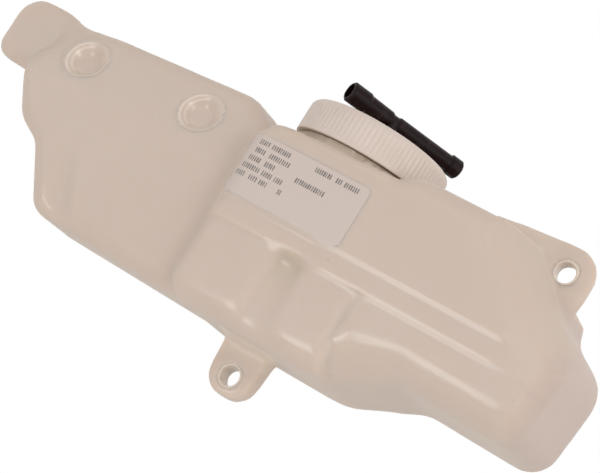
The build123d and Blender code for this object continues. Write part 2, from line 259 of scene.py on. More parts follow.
@dataclass(frozen=True)
class MilkyPlastic:
    """Translucent cream polymer, with painted olive shade in recesses, painted light that lifts the
    shade in holes and creases, and painted shade at the right end.
    """

    name: str = "milky_plastic"
    cream: Colour = (0.617, 0.503, 0.423)
    pale: Colour = (0.650, 0.540, 0.465)
    shade_olive: Colour = (0.500, 0.420, 0.300)
    stain: Colour = (0.260, 0.180, 0.120)
    painted_light: Colour = (0.860, 0.745, 0.620)
    painted_shade: Colour = (0.565, 0.453, 0.394)
    satin: float = 0.55
    skin: float = 0.8
    skin_satin: float = 0.2
    scatter: float = 0.7
    depth: Triple = (5.0 * MM, 4.0 * MM, 3.0 * MM)
    cloud: Noise = (14.0, 4.0, 0.55)
    flow: Noise = (90.0, 3.0, 0.5)
    flow_stretch: Triple = (1.0, 1.0, 0.18)
    flow_height: float = 0.08 * MM
    speck: Noise = (420.0, 1.0, 0.4)
    speck_patch: Noise = (35.0, 1.0, 0.5)
    speck_strength: float = 0.6
    grain: Noise = (900.0, 2.0, 0.5)
    grain_height: float = 0.03 * MM
    seam_half_width: float = 0.9 * MM
    seam_height: float = 0.06 * MM

    def make(self) -> Material:
        """Cloudy cream with fine flow marks, a parting line, small specks and a soft skin."""
        s = Shader.material(self.name)
        cloud = s.noise(self.cloud)
        drawn = s.node("ShaderNodeMapping", {"Vector": s.place(), "Scale": self.flow_stretch})
        flow = s.noise(self.flow, drawn)
        base = s.mix((cloud - 0.3) * 1.2, self.cream, self.pale)
        # painted shade: olive in the recesses and gaps where shade falls
        base = s.mix(s.attribute("painted_recess_shade"), base, self.shade_olive)
        # painted light: lighter cream where creases, holes and dimple walls would lie in shade
        base = s.mix(s.attribute("painted_light"), base, self.painted_light)
        # painted shade: darker at the right end and by the notch
        base = s.mix(s.attribute("painted_shade"), base, self.painted_shade)
        specks = s.noise(self.speck).ramp(0.80, 0.86) * s.noise(self.speck_patch).ramp(0.52, 0.66)
        base = s.mix(specks * self.speck_strength, base, self.stain)
        rough = self.satin + (flow - 0.5) * 0.10 + (cloud - 0.5) * 0.08
        gloss = self.skin * (1.0 - s.attribute("side"))
        _, depth, _ = s.axes()
        seam = depth.math("ABSOLUTE").ramp(self.seam_half_width, 0.0)
        skin = s.bump(seam, self.seam_height)
        skin = s.bump(s.noise(self.grain), self.grain_height, skin)
        skin = s.bump(flow, self.flow_height, skin)
        others = {
            "IOR": 1.49,
            "Specular IOR Level": 0.15,
            "Coat Weight": gloss,
            "Coat Roughness": self.skin_satin,
            "Subsurface Weight": self.scatter,
            "Subsurface Radius": self.depth,
            "Subsurface Scale": 1.0,
        }
        return s.surface(base, rough, skin, others)


@dataclass(frozen=True)
class CapPlastic:
    """Paler, closer-grained polymer of the screw cap."""

    name: str = "cap_plastic"
    pale: Colour = (0.670, 0.565, 0.500)
    warm: Colour = (0.635, 0.530, 0.460)
    gloss: float = 0.42
    cloud: Noise = (45.0, 4.0, 0.6)
    grain: Noise = (1400.0, 2.0, 0.6)
    grain_height: float = 0.03 * MM
    scatter: float = 0.15
    depth: Triple = (3.0 * MM, 2.0 * MM, 1.5 * MM)

    def make(self) -> Material:
        """Pale polymer with faint handling marks."""
        s = Shader.material(self.name)
        cloud = s.noise(self.cloud)
        base = s.mix(cloud.ramp(0.35, 0.75), self.pale, self.warm)
        rough = self.gloss + (cloud - 0.5) * 0.15
        grain = s.bump(s.noise(self.grain), self.grain_height)
        others = {
            "IOR": 1.49,
            "Subsurface Weight": self.scatter,
            "Subsurface Radius": self.depth,
            "Subsurface Scale": 1.0,
        }
        return s.surface(base, rough, grain, others)


@dataclass(frozen=True)
class LabelFilm:
    """Pale film with rows of plain grey bars."""

    name: str = "label_film"
    film: Colour = (0.605, 0.510, 0.455)
    print_grey: Colour = (0.130, 0.115, 0.110)
    first_cell: float = LABEL_LEFT + 2.0 * MM
    first_row: float = LABEL_LOW + LABEL_HEIGHT - 1.6 * MM
    row_pitch: float = 4.2 * MM
    cell_pitch: float = 1.15 * MM
    bar_height: tuple[float, float] = (0.14, 0.72)
    bar_width: tuple[float, float] = (0.12, 0.56)
    bar_wider: float = 0.26
    blank: float = 0.08
    seed: float = 3.0
    fade: Noise = (700.0, 3.0, 0.6)
    satin: float = 0.42
    wear: Noise = (120.0, 3.0, 0.5)
    grain: Noise = (260.0, 3.0, 0.5)
    grain_height: float = 0.02 * MM
    runs: tuple[tuple[tuple[int, int], ...], ...] = (
        ((3, 7), (9, 17), (30, 50)),
        ((3, 7), (10, 19)),
        ((2, 8), (10, 14), (25, 38)),
        ((1, 9), (11, 15), (17, 20)),
        ((0, 5), (7, 10), (12, 15), (20, 22)),
    )

    def make(self) -> Material:
        """Film printed with bars: a row and a cell number decide whether a bar is there."""
        s = Shader.material(self.name)
        x, _, z = s.axes()
        down = (self.first_row - z) / self.row_pitch
        along = (x - self.first_cell) / self.cell_pitch
        row, cell = down.floor(), along.floor()
        chance = s.node(
            "ShaderNodeTexWhiteNoise",
            {"Vector": s.node("ShaderNodeCombineXYZ", {0: cell, 1: row, 2: self.seed})},
            {"noise_dimensions": "3D"},
        )
        used = sum(
            (row > number - 0.5) * (row < number + 0.5) * (cell > first - 0.5) * (cell < last + 0.5)
            for number, runs in enumerate(self.runs)
            for first, last in runs
        )
        (low, high), (left, right) = self.bar_height, self.bar_width
        in_row = (down.fraction() > low) * (down.fraction() < high)
        in_cell = (along.fraction() > left) * (along.fraction() < right + chance * self.bar_wider)
        ink = in_row * in_cell * used * (chance > self.blank)
        fade = s.noise(self.fade).ramp(0.25, 0.62)
        base = s.mix(ink * (0.55 + fade * 0.4), self.film, self.print_grey)
        rough = self.satin + (s.noise(self.wear) - 0.5) * 0.12
        grain = s.bump(s.noise(self.grain), self.grain_height)
        return s.surface(base, rough, grain, {"IOR": 1.47})


@dataclass(frozen=True)
class BlackPlastic:
    """Moulded black polymer of the vent tee."""

    name: str = "black_plastic"
    black: Colour = (0.010, 0.003, 0.003)
    worn: Colour = (0.036, 0.024, 0.022)
    gloss: float = 0.38
    scuff: Noise = (160.0, 5.0, 0.65)
    grain: Noise = (1100.0, 2.0, 0.5)
    grain_height: float = 0.04 * MM

    def make(self) -> Material:
        """Black with greyer scuffs."""
        s = Shader.material(self.name)
        scuff = s.noise(self.scuff).ramp(0.50, 0.78)
        base = s.mix(scuff, self.black, self.worn)
        rough = self.gloss + scuff * 0.18
        grain = s.bump(s.noise(self.grain), self.grain_height)
        return s.surface(base, rough, grain, {"IOR": 1.5, "Specular IOR Level": 0.14})


@dataclass(frozen=True)
class SealRubber:
    """Matt black rubber of the cap's seal."""

    name: str = "seal_rubber"
    black: Colour = (0.020, 0.020, 0.020)
    dusty: Colour = (0.050, 0.047, 0.045)
    matt: float = 0.7
    bloom: Noise = (220.0, 4.0, 0.6)
    bloom_height: float = 0.05 * MM

    def make(self) -> Material:
        """Black with a dusty bloom."""
        s = Shader.material(self.name)
        bloom = s.noise(self.bloom)
        base = s.mix(bloom.ramp(0.4, 0.8), self.black, self.dusty)
        rough = self.matt + bloom * 0.15
        grain = s.bump(bloom, self.bloom_height)
        return s.surface(base, rough, grain, {"IOR": 1.5})


class Meshes:
    """Turns arrays into objects and reads them back."""

    @staticmethod
    def add(name: str, data: Any) -> Object:
        """A new object of a mesh, a lamp or a camera, in the scene."""
        piece = bpy.data.objects.new(name, data)
        bpy.context.scene.collection.objects.link(piece)
        return piece

    @staticmethod
    def build(name: str, points: Array, faces: Array) -> Object:
        """Makes a smooth-shaded object.

        Args:
            name: the piece's name.
            points: positions in metres, along the last axis.
            faces: point numbers, one quad to a row.

        Returns:
            The new object, at the origin.
        """
        mesh = bpy.data.meshes.new(name)
        mesh.from_pydata(points.reshape(-1, 3).tolist(), [], faces.tolist())
        mesh.update()
        Meshes.smooth(mesh)
        return Meshes.add(name, mesh)

    @staticmethod
    def smooth(mesh: Mesh) -> None:
        """Shades all faces smooth."""
        mesh.polygons.foreach_set("use_smooth", np.ones(len(mesh.polygons), bool))

    @staticmethod
    def tint(mesh: Mesh, name: str, values: Array) -> None:
        """Keeps a number on each point of the mesh."""
        tint = mesh.attributes.new(name, "FLOAT", "POINT")
        tint.data.foreach_set("value", values.astype(np.float32))

    @staticmethod
    def finished(piece: Object) -> Mesh:
        """The mesh that an object's modifiers give; the object itself is removed."""
        graph = bpy.context.evaluated_depsgraph_get()
        mesh = bpy.data.meshes.new_from_object(piece.evaluated_get(graph))
        bpy.data.objects.remove(piece)
        return mesh

    @staticmethod
    def read(items: Any, key: str, width: int, kind: type = float) -> Array:
        """One property of a mesh's points, edges or normals, a row for each."""
        flat = np.zeros(len(items) * width, kind)
        items.foreach_get(key, flat)
        return flat.reshape(-1, width)

    @staticmethod
    def away(points: Array, x: float, z: float) -> Array:
        """How far each point lies from an axis along Y."""
        return np.hypot(points[:, 0] - x, points[:, 2] - z)

    @staticmethod
    def grid(rows: int, columns: int, closed: bool) -> Array:
        """Quads of a grid of points.

        Args:
            rows: number of rows of points.
            columns: points in a row.
            closed: whether each row's last point joins its first.

        Returns:
            Point numbers, one quad to a row.
        """
        i = np.arange(rows - 1)[:, None] * columns
        j = np.arange(columns if closed else columns - 1)[None, :]
        k = (j + 1) % columns
        quads = np.stack([i + j, i + k, i + columns + k, i + columns + j], -1)
        return quads.reshape(-1, 4)

    @staticmethod
    def turned(rows: int, columns: int) -> Array:
        """Quads of a closed profile turned about an axis, whose last row joins its first."""
        return Meshes.grid(rows + 1, columns, True) % (rows * columns)

    @staticmethod
    def dress(piece: Object, material: Material) -> None:
        """Gives a piece one material."""
        piece.data.materials.clear()
        piece.data.materials.append(material)

    @staticmethod
    def fit(
        piece: Object, body: Body, slot: Slot, material: Material
    ) -> Object:
        """Hangs a piece on its body and gives it its finish.

        Args:
            piece: the finished piece.
            body: the body that carries it.
            slot: its finish in the record; not used.
            material: its finish here.

        Returns:
            The same piece.
        """
        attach(piece, body.value)
        Meshes.dress(piece, material)
        return piece


def smooth_step(low: float, high: float, value: Array) -> Array:
    """0 at low, 1 at high, and a smooth S between."""
    t = np.clip((value - low) / (high - low), 0.0, 1.0)
    return t * t * (3.0 - 2.0 * t)


def within(edges: Edges, values: Array) -> Array:
    """The product of the smooth steps across pairs of edges, each from share 0 to share 1."""
    share = np.ones(len(values))
    for low, high in zip(edges[::2], edges[1::2]):
        share = share * smooth_step(low, high, values)
    return share


@dataclass(frozen=True)
class Line:
    """A line on the front, in millimetres: a point of it and the direction across it."""

    x: float
    z: float
    across_x: float
    across_z: float

    def past(self, points: Array) -> Array:
        """How far each point lies past the line."""
        x, _, z = points.T / MM
        return (x - self.x) * self.across_x + (z - self.z) * self.across_z


class Along(Enum):
    """The ways in which smoothing may move a point."""

    ALL = (1.0, 1.0, 1.0)
    DEPTH = (0.0, 1.0, 0.0)
    OUTLINE = (1.0, 0.0, 1.0)


@dataclass(frozen=True)
class Zone:
    """A soft-edged zone in millimetres.

    Its edges lie along the axes, round the neck, round the upper hole and past the slope's start.
    """

    x: Edges = ()
    y: Edges = ()
    z: Edges = ()
    neck: Edges = ()
    hole: Edges = ()
    past: Edges = ()
    weight: float = 1.0
    slope: Line = Line(88.5, 104.5, 0.661, 0.750)

    def share(self, points: Array) -> Array:
        """The weight inside the zone, 0 outside it."""
        x, y, z = points.T / MM
        box = within(self.x, x) * within(self.y, y) * within(self.z, z)
        hole = within(self.hole, Meshes.away(points, *UPPER_HOLE) / MM)
        neck = within(self.neck, np.hypot(x, y))
        return self.weight * box * hole * neck * within(self.past, self.slope.past(points))

    @staticmethod
    def total(zones: Sequence["Zone"], points: Array) -> Array:
        """The sum of several zones' shares, at most 1."""
        return np.clip(sum(zone.share(points) for zone in zones), 0.0, 1.0)


@dataclass(frozen=True)
class Softening:
    """Further smoothing of some zones."""

    passes: int
    along: Along
    zones: tuple[Zone, ...]


@dataclass
class TankShell:
    """The blow-moulded housing, with the soft edges that blowing leaves.

    Fields with MM are in metres and other lengths in millimetres, apart from hole_near and
    hole_lit, which count hole radii.
    """

    points: Array = field(init=False)
    voxel: float = 1.7 * MM
    weld: float = 0.002 * MM

    passes: int = 22
    keep: float = 0.50
    undo: float = -0.525
    channel: Softening = Softening(
        14, Along.ALL, (Zone(x=(-6.2, -2.2, 23.8, 19.8), y=(-12, -22), z=(66, 60)),)
    )
    blends: Softening = Softening(110, Along.DEPTH, (
        Zone((-146, -160, -198, -192), (-1, -3), (74, 84)),
        Zone((70, 90), (-1, -3), (42, 74, 72, 74), hole=(6.5, 10), past=(-30, 0)),
        Zone((70, 90, 112, 122), (-1, -3), (42, 74, 74, 72), hole=(6.5, 10), past=(-30, 0)),
    ))
    corners: Softening = Softening(26, Along.OUTLINE, (
        Zone(x=(30, 38, 66, 58), z=(36, 30)),
        Zone(x=(116, 122), z=(68, 74, 106, 100)),
        Zone(x=(-178, -170, -144, -152), z=(99, 105)),
    ))
    step_feet: Softening = Softening(30, Along.DEPTH, (
        Zone((16, 20), (-26, -31), (60, 62, 67.6, 66.8)),
        Zone((16, 20), (-26, -31), (49, 51.5, 57, 56.2)),
    ))
    ear_root: Softening = Softening(
        24, Along.ALL, (Zone((-158, -164, -198, -192), (-4.5, -6.5), (78, 84)),)
    )

    steps: Zone = Zone(y=(-26, -32), z=(48, 53, 76, 71), weight=0.8)
    dimples: Places = ((-148.0, 95.5), (-79.0, 98.5))
    dimple_near: Edges = (15, 12)
    dimple_hold: float = 0.5
    holes: Places = ((0.0, 0.0), UPPER_HOLE)
    hole_radius: float = 4.75 * MM
    hole_near: Edges = (2.2, 1.2)
    hole_hold: float = 0.75
    hole_catch: float = 0.9 * MM
    hole_room: float = 0.7 * MM
    neck_radius: float = 36.75 * MM
    neck_low: float = 107.0 * MM
    neck_freedom: float = 0.3

    front: float = -38.0
    edge_radius: float = 12.0
    low_edge_radius: float = 16.5
    step_edge_radius: float = 24.0
    low_edge_run: Edges = (52, 84)
    low_edge: Zone = Zone(x=(44, 48), y=(-2, -24))
    floor_x: Triple = (42.0, 77.0, 142.0)
    floor_z: Triple = (16.5, 32.6, 31.4)

    lip_radius: float = 4.5
    lip: Zone = Zone((-46, -18, 40, 26), (-23, -27), (94, 98))
    lip_outside: Edges = (10.2, 11)
    lip_top: Edges = (0.3, -0.1)
    seat_x: tuple[float, float] = (-42.0, 28.0)
    seat_z: tuple[float, float] = (108.2, 110.2)
    ring: Zone = Zone(z=(109.9, 110.8, 112.5, 111.5), neck=(30.6, 31.4, 36.6, 35.9))
    ring_rise: float = 1.9 * MM

    bed_round: Edges = (13.6, 12.2, 10, 10.8)
    bed_inside: Edges = (11, 10.2)
    bed_front: Edges = (-4, -8)
    bed_reach: float = 1.6 * MM
    bed_sink: float = 0.9 * MM

    # Painted shade: olive at the channel's top, the slope's foot, below the neck and on the ring
    # under the cap.
    olive_shade_zones: tuple[Zone, ...] = (
        Zone((-0.5, 5.5, 19.5, 13.5), (0, -12), (36, 54, 63, 57), weight=0.35),
        Zone(y=(0, -12), past=(4, 13, 24, 15), weight=0.2),
        Zone((-48, -38, 36, 26), (0, -12), (99, 106), weight=0.12),
        Zone(z=(109.2, 110.2), neck=(36.4, 35.8), weight=0.3),
    )
    # Painted light that lifts the shade at the lug's root, in the holes and at the slope's foot.
    lug_root: Zone = Zone((-18, -13, 18, 13), (-20, -10, 4, 0), (4, 14, 22, 16), weight=0.4)
    hole_lit: Edges = (1.15, 1.01)
    hole_painted_light: float = 0.5
    foot: Zone = Zone(x=(70, 78), y=(-16, -8, 0, -2))
    foot_top: Line = Line(77.5, 121.2, 0.20, 0.98)
    foot_side: Line = Line(96.5, 117.3, 0.664, 0.748)
    foot_across: Edges = (-5, 2, 14, 3)
    foot_turn: Edges = (-3, 2)
    foot_painted_light: float = 0.12
    top_painted_light: float = 0.20
    # Painted shade on the notch and the right end.
    notch: Zone = Zone(z=(106, 96), past=(11, 16))
    right_end: Zone = Zone(x=(128, 140))
    faces_front: tuple[float, float] = (0.955, 0.865)

    def build(self) -> Object:
        """Makes the shell and hides the solid that it replaces."""
        mesh = self._moulding()
        self.points = Meshes.read(mesh.vertices, "co", 3)
        self._soften(Meshes.read(mesh.edges, "vertices", 2, int))
        self._true_holes()
        self._round()
        self._raise_lip()
        self._deepen()
        low, high = (np.array(corner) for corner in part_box("tank_body"))
        self.points = np.clip(self.points, low, high)
        mesh.vertices.foreach_set("co", self.points.ravel())
        mesh.update()
        Meshes.smooth(mesh)
        # painted shade on the notch and the right end
        painted_shade = np.maximum(self.notch.share(self.points), self.right_end.share(self.points))
        # painted olive shade in the recesses
        Meshes.tint(mesh, "painted_recess_shade", Zone.total(self.olive_shade_zones, self.points))
        # painted light in the holes, the creases and the lug's root
        Meshes.tint(mesh, "painted_light", self._painted_light_share())
        Meshes.tint(mesh, "painted_shade", painted_shade)
        Meshes.tint(mesh, "side", self._side(mesh))
        piece = Meshes.add("tank_shell", mesh)
        Meshes.fit(piece, Body.TANK, Slot.TANK, MilkyPlastic().make())
        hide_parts("tank_body")
        return piece

    def _moulding(self) -> Mesh:
        """An even skin of small quads over the housing's solid."""
        copy = Meshes.add("moulding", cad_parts["tank_body"].data.copy())
        weld = copy.modifiers.new("weld", "WELD")
        weld.merge_threshold = self.weld
        skin = copy.modifiers.new("skin", "REMESH")
        skin.mode = "VOXEL"
        skin.voxel_size = self.voxel
        skin.use_smooth_shade = True
        mesh = Meshes.finished(copy)
        mesh.name = "tank_shell"
        mesh.materials.clear()
        return mesh

    def _soften(self, edges: Array) -> None:
        """Rounds the edges: each point moves to its neighbours' mean, then part of the way back.

        Where the moulding is softest, the points then move towards the mean only: along Y where one
        form runs into the next, and along X and Z where the outline turns.

        Args:
            edges: pairs of neighbours.
        """
        ends = np.concatenate([edges, edges[:, ::-1]])
        links = np.bincount(ends[:, 0])[:, None]

        def pull(share: float, freedom: Array) -> None:
            """Moves the points a share of the way to their neighbours' mean."""
            columns = [np.bincount(ends[:, 0], self.points[ends[:, 1], k]) for k in range(3)]
            way = np.stack(columns, -1) / links - self.points
            self.points = self.points + share * freedom * way

        freedom = self._freedom()[:, None]
        further = [
            (soft.passes, Zone.total(soft.zones, self.points)[:, None] * soft.along.value)
            for soft in (self.channel, self.blends, self.corners, self.step_feet, self.ear_root)
        ]
        for _ in range(self.passes):
            pull(self.keep, freedom)
            pull(self.undo, freedom)
        for passes, share in further:
            for _ in range(passes):
                pull(self.keep, share)

    def _freedom(self) -> Array:
        """How far each point may move: little by a hole, the neck, a step or a dimple."""
        freedom = 1.0 - self.steps.share(self.points)
        for x, z in self.holes:
            away = Meshes.away(self.points, x, z) / self.hole_radius
            freedom *= 1.0 - self.hole_hold * within(self.hole_near, away)
        for x, z in self.dimples:
            away = Meshes.away(self.points, x * MM, z * MM) / MM
            freedom *= 1.0 - self.dimple_hold * within(self.dimple_near, away)
        x, y, z = self.points.T
        by_neck = (np.hypot(x, y) < self.neck_radius) & (z > self.neck_low)
        return np.where(by_neck, self.neck_freedom * freedom, freedom)

    def _true_holes(self) -> None:
        """Sets each point near a hole's wall on a circle just outside the wall."""
        for x, z in self.holes:
            away = Meshes.away(self.points, x, z)
            near = (away < self.hole_radius + self.hole_catch) & (away > 1e-6)
            room = (self.hole_radius + self.hole_room) / away[near]
            self.points[near, 0] = x + (self.points[near, 0] - x) * room
            self.points[near, 2] = z + (self.points[near, 2] - z) * room

    @staticmethod
    def _setback(radius: Union[float, Array], height: Array) -> Array:
        """How far a rounding lies behind the face that it ends in.

        At a height over its foot, that is the radius less the root of the radius squared less the
        square of the radius less the height.

        Args:
            radius: the rounding's radius.
            height: the heights over its foot.

        Returns:
            The setback at each height.
        """
        left = np.clip(radius - height, 0.0, radius)
        return radius - np.sqrt(radius**2 - left**2)

    def _round(self) -> None:
        """Widens the rounding of the right-hand lower front edge.

        Points in front move back by the difference between the wide and the narrow setback.
        """
        x, _, z = self.points.T / MM
        height = z - np.interp(x, self.floor_x, self.floor_z)
        narrowing = self.low_edge_radius - self.step_edge_radius
        wide = self.step_edge_radius + narrowing * within(self.low_edge_run, x)
        move = self._setback(wide, height) - self._setback(self.edge_radius, height)
        self.points[:, 1] += move * self.low_edge.share(self.points) * MM

    def _raise_lip(self) -> None:
        """Tightens the rounding of the front edge below the cap, so the neck stands behind a lip.

        Points of the outer wall that lie behind the tight rounding move forwards on to it. The
        neck's ring rises to just below the cap.
        """
        x, y, z = self.points.T / MM
        seat = np.interp(x, self.seat_x, self.seat_z)
        ahead = self.front + self._setback(self.lip_radius, seat - z)
        centre_y, centre_z = self.front + self.edge_radius, seat - self.edge_radius
        outside = within(self.lip_outside, np.hypot(y - centre_y, z - centre_z))
        share = outside * self.lip.share(self.points) * within(self.lip_top, z - seat)
        rise = self.ring_rise * self.ring.share(self.points)
        self.points[:, 1] += np.minimum(ahead - y, 0.0) * share * MM
        self.points[:, 2] += rise

    def _deepen(self) -> None:
        """Lays the wall flush round each dimple and sinks it inside, behind the lining."""
        x, y, z = self.points.T
        for dimple_x, dimple_z in self.dimples:
            lining = DimpleLining("lining", dimple_x * MM, dimple_z * MM)
            away, face = lining.face(x, z)
            flush = within(self.bed_round, away / MM) * (y < face + self.bed_reach)
            y = y + flush * (lining.plane(z) - y)
            inside = within(self.bed_inside, away / MM) * within(self.bed_front, y / MM)
            y = y + inside * np.clip(face + self.bed_sink - y, 0.0, None)
        self.points[:, 1] = y

    def _painted_light_share(self) -> Array:
        """Painted light that lifts the shade in the holes, at the lug's root and by the slope's
        foot.
        """
        glow = self.lug_root.share(self.points)
        for x, z in self.holes:
            away = Meshes.away(self.points, x, z) / self.hole_radius
            glow += self.hole_painted_light * within(self.hole_lit, away)
        top, side = self.foot_top.past(self.points), self.foot_side.past(self.points)
        foot = self.foot.share(self.points) * within(self.foot_across, np.maximum(top, side))
        glow += foot * (self.foot_painted_light + self.top_painted_light * within(self.foot_turn, top - side))
        return np.clip(glow, 0.0, 1.0)

    def _side(self, mesh: Mesh) -> Array:
        """1 where the wall faces sideways, up or down, and 0 where it faces front or back."""
        normals = Meshes.read(mesh.vertex_normals, "vector", 3)
        return smooth_step(*self.faces_front, np.abs(normals[:, 1]))


@dataclass
class DimpleLining:
    """The sharp-edged face of a dimple pressed into the arm's leaning front."""

    name: str
    x: float
    z: float
    lean: float = 0.32
    crease: float = 81.0 * MM
    front: float = -24.0 * MM
    rim: float = 10.0 * MM
    floor: float = 5.4 * MM
    depth: float = 5.0 * MM
    reach: float = 12.2 * MM
    rim_round: float = 1.6 * MM
    floor_round: float = 2.2 * MM
    proud: float = 0.05 * MM
    sunk: float = 0.20 * MM
    sunk_from: float = 0.85
    thick: float = 0.5 * MM
    # Painted highlights in two thin arcs on the left, and painted light on the far wall.
    rim_arc: float = 10.3 * MM
    foot_arc: float = 8.4 * MM
    arc_half: float = 0.45 * MM
    arc_left: Edges = (0.05, 0.5)
    arc_painted_highlight: float = 0.5
    wall: Edges = (4.6 * MM, 6.6 * MM, 10.2 * MM, 9.0 * MM)
    far_way: tuple[float, float] = (0.8, -0.6)
    far_side: Edges = (-0.6, 0.6)
    wall_painted_light: float = 0.35
    steps: int = 120

    def build(self, material: Material) -> Object:
        """Presses a cone into a round patch of the leaning face.

        A square of two shares is drawn out to a disc: each share is multiplied by the root of one
        less half of the other's square. The height falls along a straight cone between the rim and
        the floor, with a parabola rounding each bend, and the patch's edge dips below the face.

        Args:
            material: the tank's finish.

        Returns:
            The lining.
        """
        share = np.linspace(-1.0, 1.0, self.steps)
        u, v = share[None, :], share[:, None]
        across = self.reach * u * np.sqrt(1.0 - 0.5 * v * v)
        up = self.reach * v * np.sqrt(1.0 - 0.5 * u * u)
        height = self._height(np.hypot(across, up))
        long = math.hypot(1.0, self.lean)
        depth = self.plane(self.z) + (up * self.lean - height) / long
        rise = self.z + (up + height * self.lean) / long
        points = np.stack([self.x + across, depth, rise], -1)
        sheet = Meshes.build("pressing", points, Meshes.grid(self.steps, self.steps, False))
        body = sheet.modifiers.new("body", "SOLIDIFY")
        body.thickness = self.thick
        body.offset = -1.0
        mesh = Meshes.finished(sheet)
        # painted highlight arcs and painted light on the far wall
        Meshes.tint(mesh, "painted_light", self._painted_highlights(Meshes.read(mesh.vertices, "co", 3)))
        return Meshes.fit(Meshes.add(self.name, mesh), Body.TANK, Slot.TANK, material)

    def _painted_highlights(self, points: Array) -> Array:
        """Painted highlights in two thin arcs on the left, and painted light on the far wall that
        lifts its shade.

        Args:
            points: positions.

        Returns:
            The painted light of each point, from 0 to 1.
        """
        across = points[:, 0] - self.x
        up = (points[:, 2] - self.z) * math.hypot(1.0, self.lean)
        away = np.hypot(across, up) + 1e-9
        arcs = sum(
            np.exp(-(((away - arc) / self.arc_half) ** 2)) for arc in (self.rim_arc, self.foot_arc)
        )
        far = within(self.far_side, (self.far_way[0] * across + self.far_way[1] * up) / away)
        glow = self.arc_painted_highlight * within(self.arc_left, -across / away) * arcs
        return np.clip(glow + self.wall_painted_light * far * within(self.wall, away), 0.0, 1.0)

    def plane(self, z: Union[float, Array]) -> Union[float, Array]:
        """Depth along Y of the arm's leaning face at a height."""
        return self.front + (z - self.crease) * self.lean

    def face(self, x: Array, z: Array) -> tuple[Array, Array]:
        """Where the pressed face lies.

        Args:
            x: places across.
            z: heights.

        Returns:
            The distance from the dimple's axis, and the face's depth along Y.
        """
        long = math.hypot(1.0, self.lean)
        height = np.zeros_like(x)
        for _ in range(3):
            base = z - height * self.lean / long
            away = np.hypot(x - self.x, (base - self.z) * long)
            height = self._height(away)
        return away, self.plane(base) - height / long

    def _height(self, away: Array) -> Array:
        """Height over the leaning face at a distance from the dimple's axis.

        Args:
            away: the distances.

        Returns:
            The heights.
        """
        cone = (away - self.rim) * self.depth / (self.rim - self.floor)
        bend = np.clip(self.rim_round - np.abs(cone), 0.0, None)
        height = np.minimum(cone, 0.0) - bend**2 / (4.0 * self.rim_round)
        bend = np.clip(self.floor_round - np.abs(height + self.depth), 0.0, None)
        height = np.maximum(height, -self.depth) + bend**2 / (4.0 * self.floor_round)
        dip = smooth_step(self.sunk_from * self.reach, self.reach, away)
        return height + self.proud - self.sunk * dip


@dataclass
class HoleSleeve:
    """The smooth wall of a lug's hole, with a rounded lip at each end."""

    name: str
    x: float
    z: float
    half: float
    radius: float = TankShell.hole_radius
    lip: float = 0.6 * MM
    flange: float = 1.5 * MM
    proud: float = 0.03 * MM
    sunk: float = 0.3 * MM
    lip_steps: int = 9
    steps: int = 96

    def build(self, material: Material) -> Object:
        """Turns a closed profile about the hole's axis.

        The profile runs along the hole at its radius, turns outwards by a quarter circle at each
        end, and dips into the lug at the flange's edge, where it joins up behind the wall.

        Args:
            material: the tank's finish, made lighter as painted light on the hole's wall.

        Returns:
            The sleeve.
        """
        turn = np.linspace(0.0, 0.5 * math.pi, self.lip_steps)
        out = self.radius + self.lip * (1.0 - np.cos(turn))
        end = self.half + self.proud - self.lip * (1.0 - np.sin(turn))
        rim, behind = self.radius + self.flange, self.half - self.sunk
        radius = np.concatenate([out, [rim, rim], out[::-1]])[:, None]
        depth = np.concatenate([-end, [-behind, behind], end[::-1]])[:, None]
        angle = np.linspace(0.0, 2.0 * math.pi, self.steps, endpoint=False)
        x, z = self.x + radius * np.cos(angle), self.z + radius * np.sin(angle)
        points = np.stack([x, np.broadcast_to(depth, x.shape), z], -1)
        piece = Meshes.build(self.name, points, Meshes.turned(len(depth), self.steps))
        return Meshes.fit(piece, Body.TANK, Slot.TANK, material)


@dataclass
class ScrewThread:
    """A helical ridge whose lead matches the cap's rise."""

    name: str
    body: Body
    slot: Slot
    wall: float
    crest: float
    low: float
    turns: float
    start: float = 0.3
    lead: float = 4.0 * MM
    foot: float = 1.3 * MM
    tip: float = 0.5 * MM
    sunk: float = 0.3 * MM
    ends: Edges = (0.0, 0.06, 1.0, 0.94)
    steps: int = 96

    def build(self, material: Material) -> Object:
        """Carries a trapezium along a helix, its height fading to nothing at both ends.

        Args:
            material: the finish of the part that carries the thread.

        Returns:
            The thread.
        """
        count = int(self.steps * self.turns) + 1
        t = np.linspace(0.0, 1.0, count)
        angle = (self.start + 2.0 * math.pi * self.turns * t)[:, None]
        rise = self.low + self.lead * self.turns * t
        sunk = np.full(count, self.wall - self.sunk * np.sign(self.crest - self.wall))
        crest = self.wall + (self.crest - self.wall) * within(self.ends, t)
        radius = np.stack([sunk, crest, crest, sunk], -1)
        height = rise[:, None] + np.array([-self.foot, -self.tip, self.tip, self.foot])
        if self.crest < self.wall:
            radius, height = radius[:, ::-1], height[:, ::-1]
        points = np.stack([radius * np.cos(angle), radius * np.sin(angle), height], -1)
        caps = np.array([[3, 2, 1, 0], [(count - 1) * 4 + k for k in range(4)]])
        quads = np.vstack([Meshes.grid(count, 4, True), caps])[:, ::-1]
        piece = Meshes.build(self.name, points, quads)
        return Meshes.fit(piece, self.body, self.slot, material)


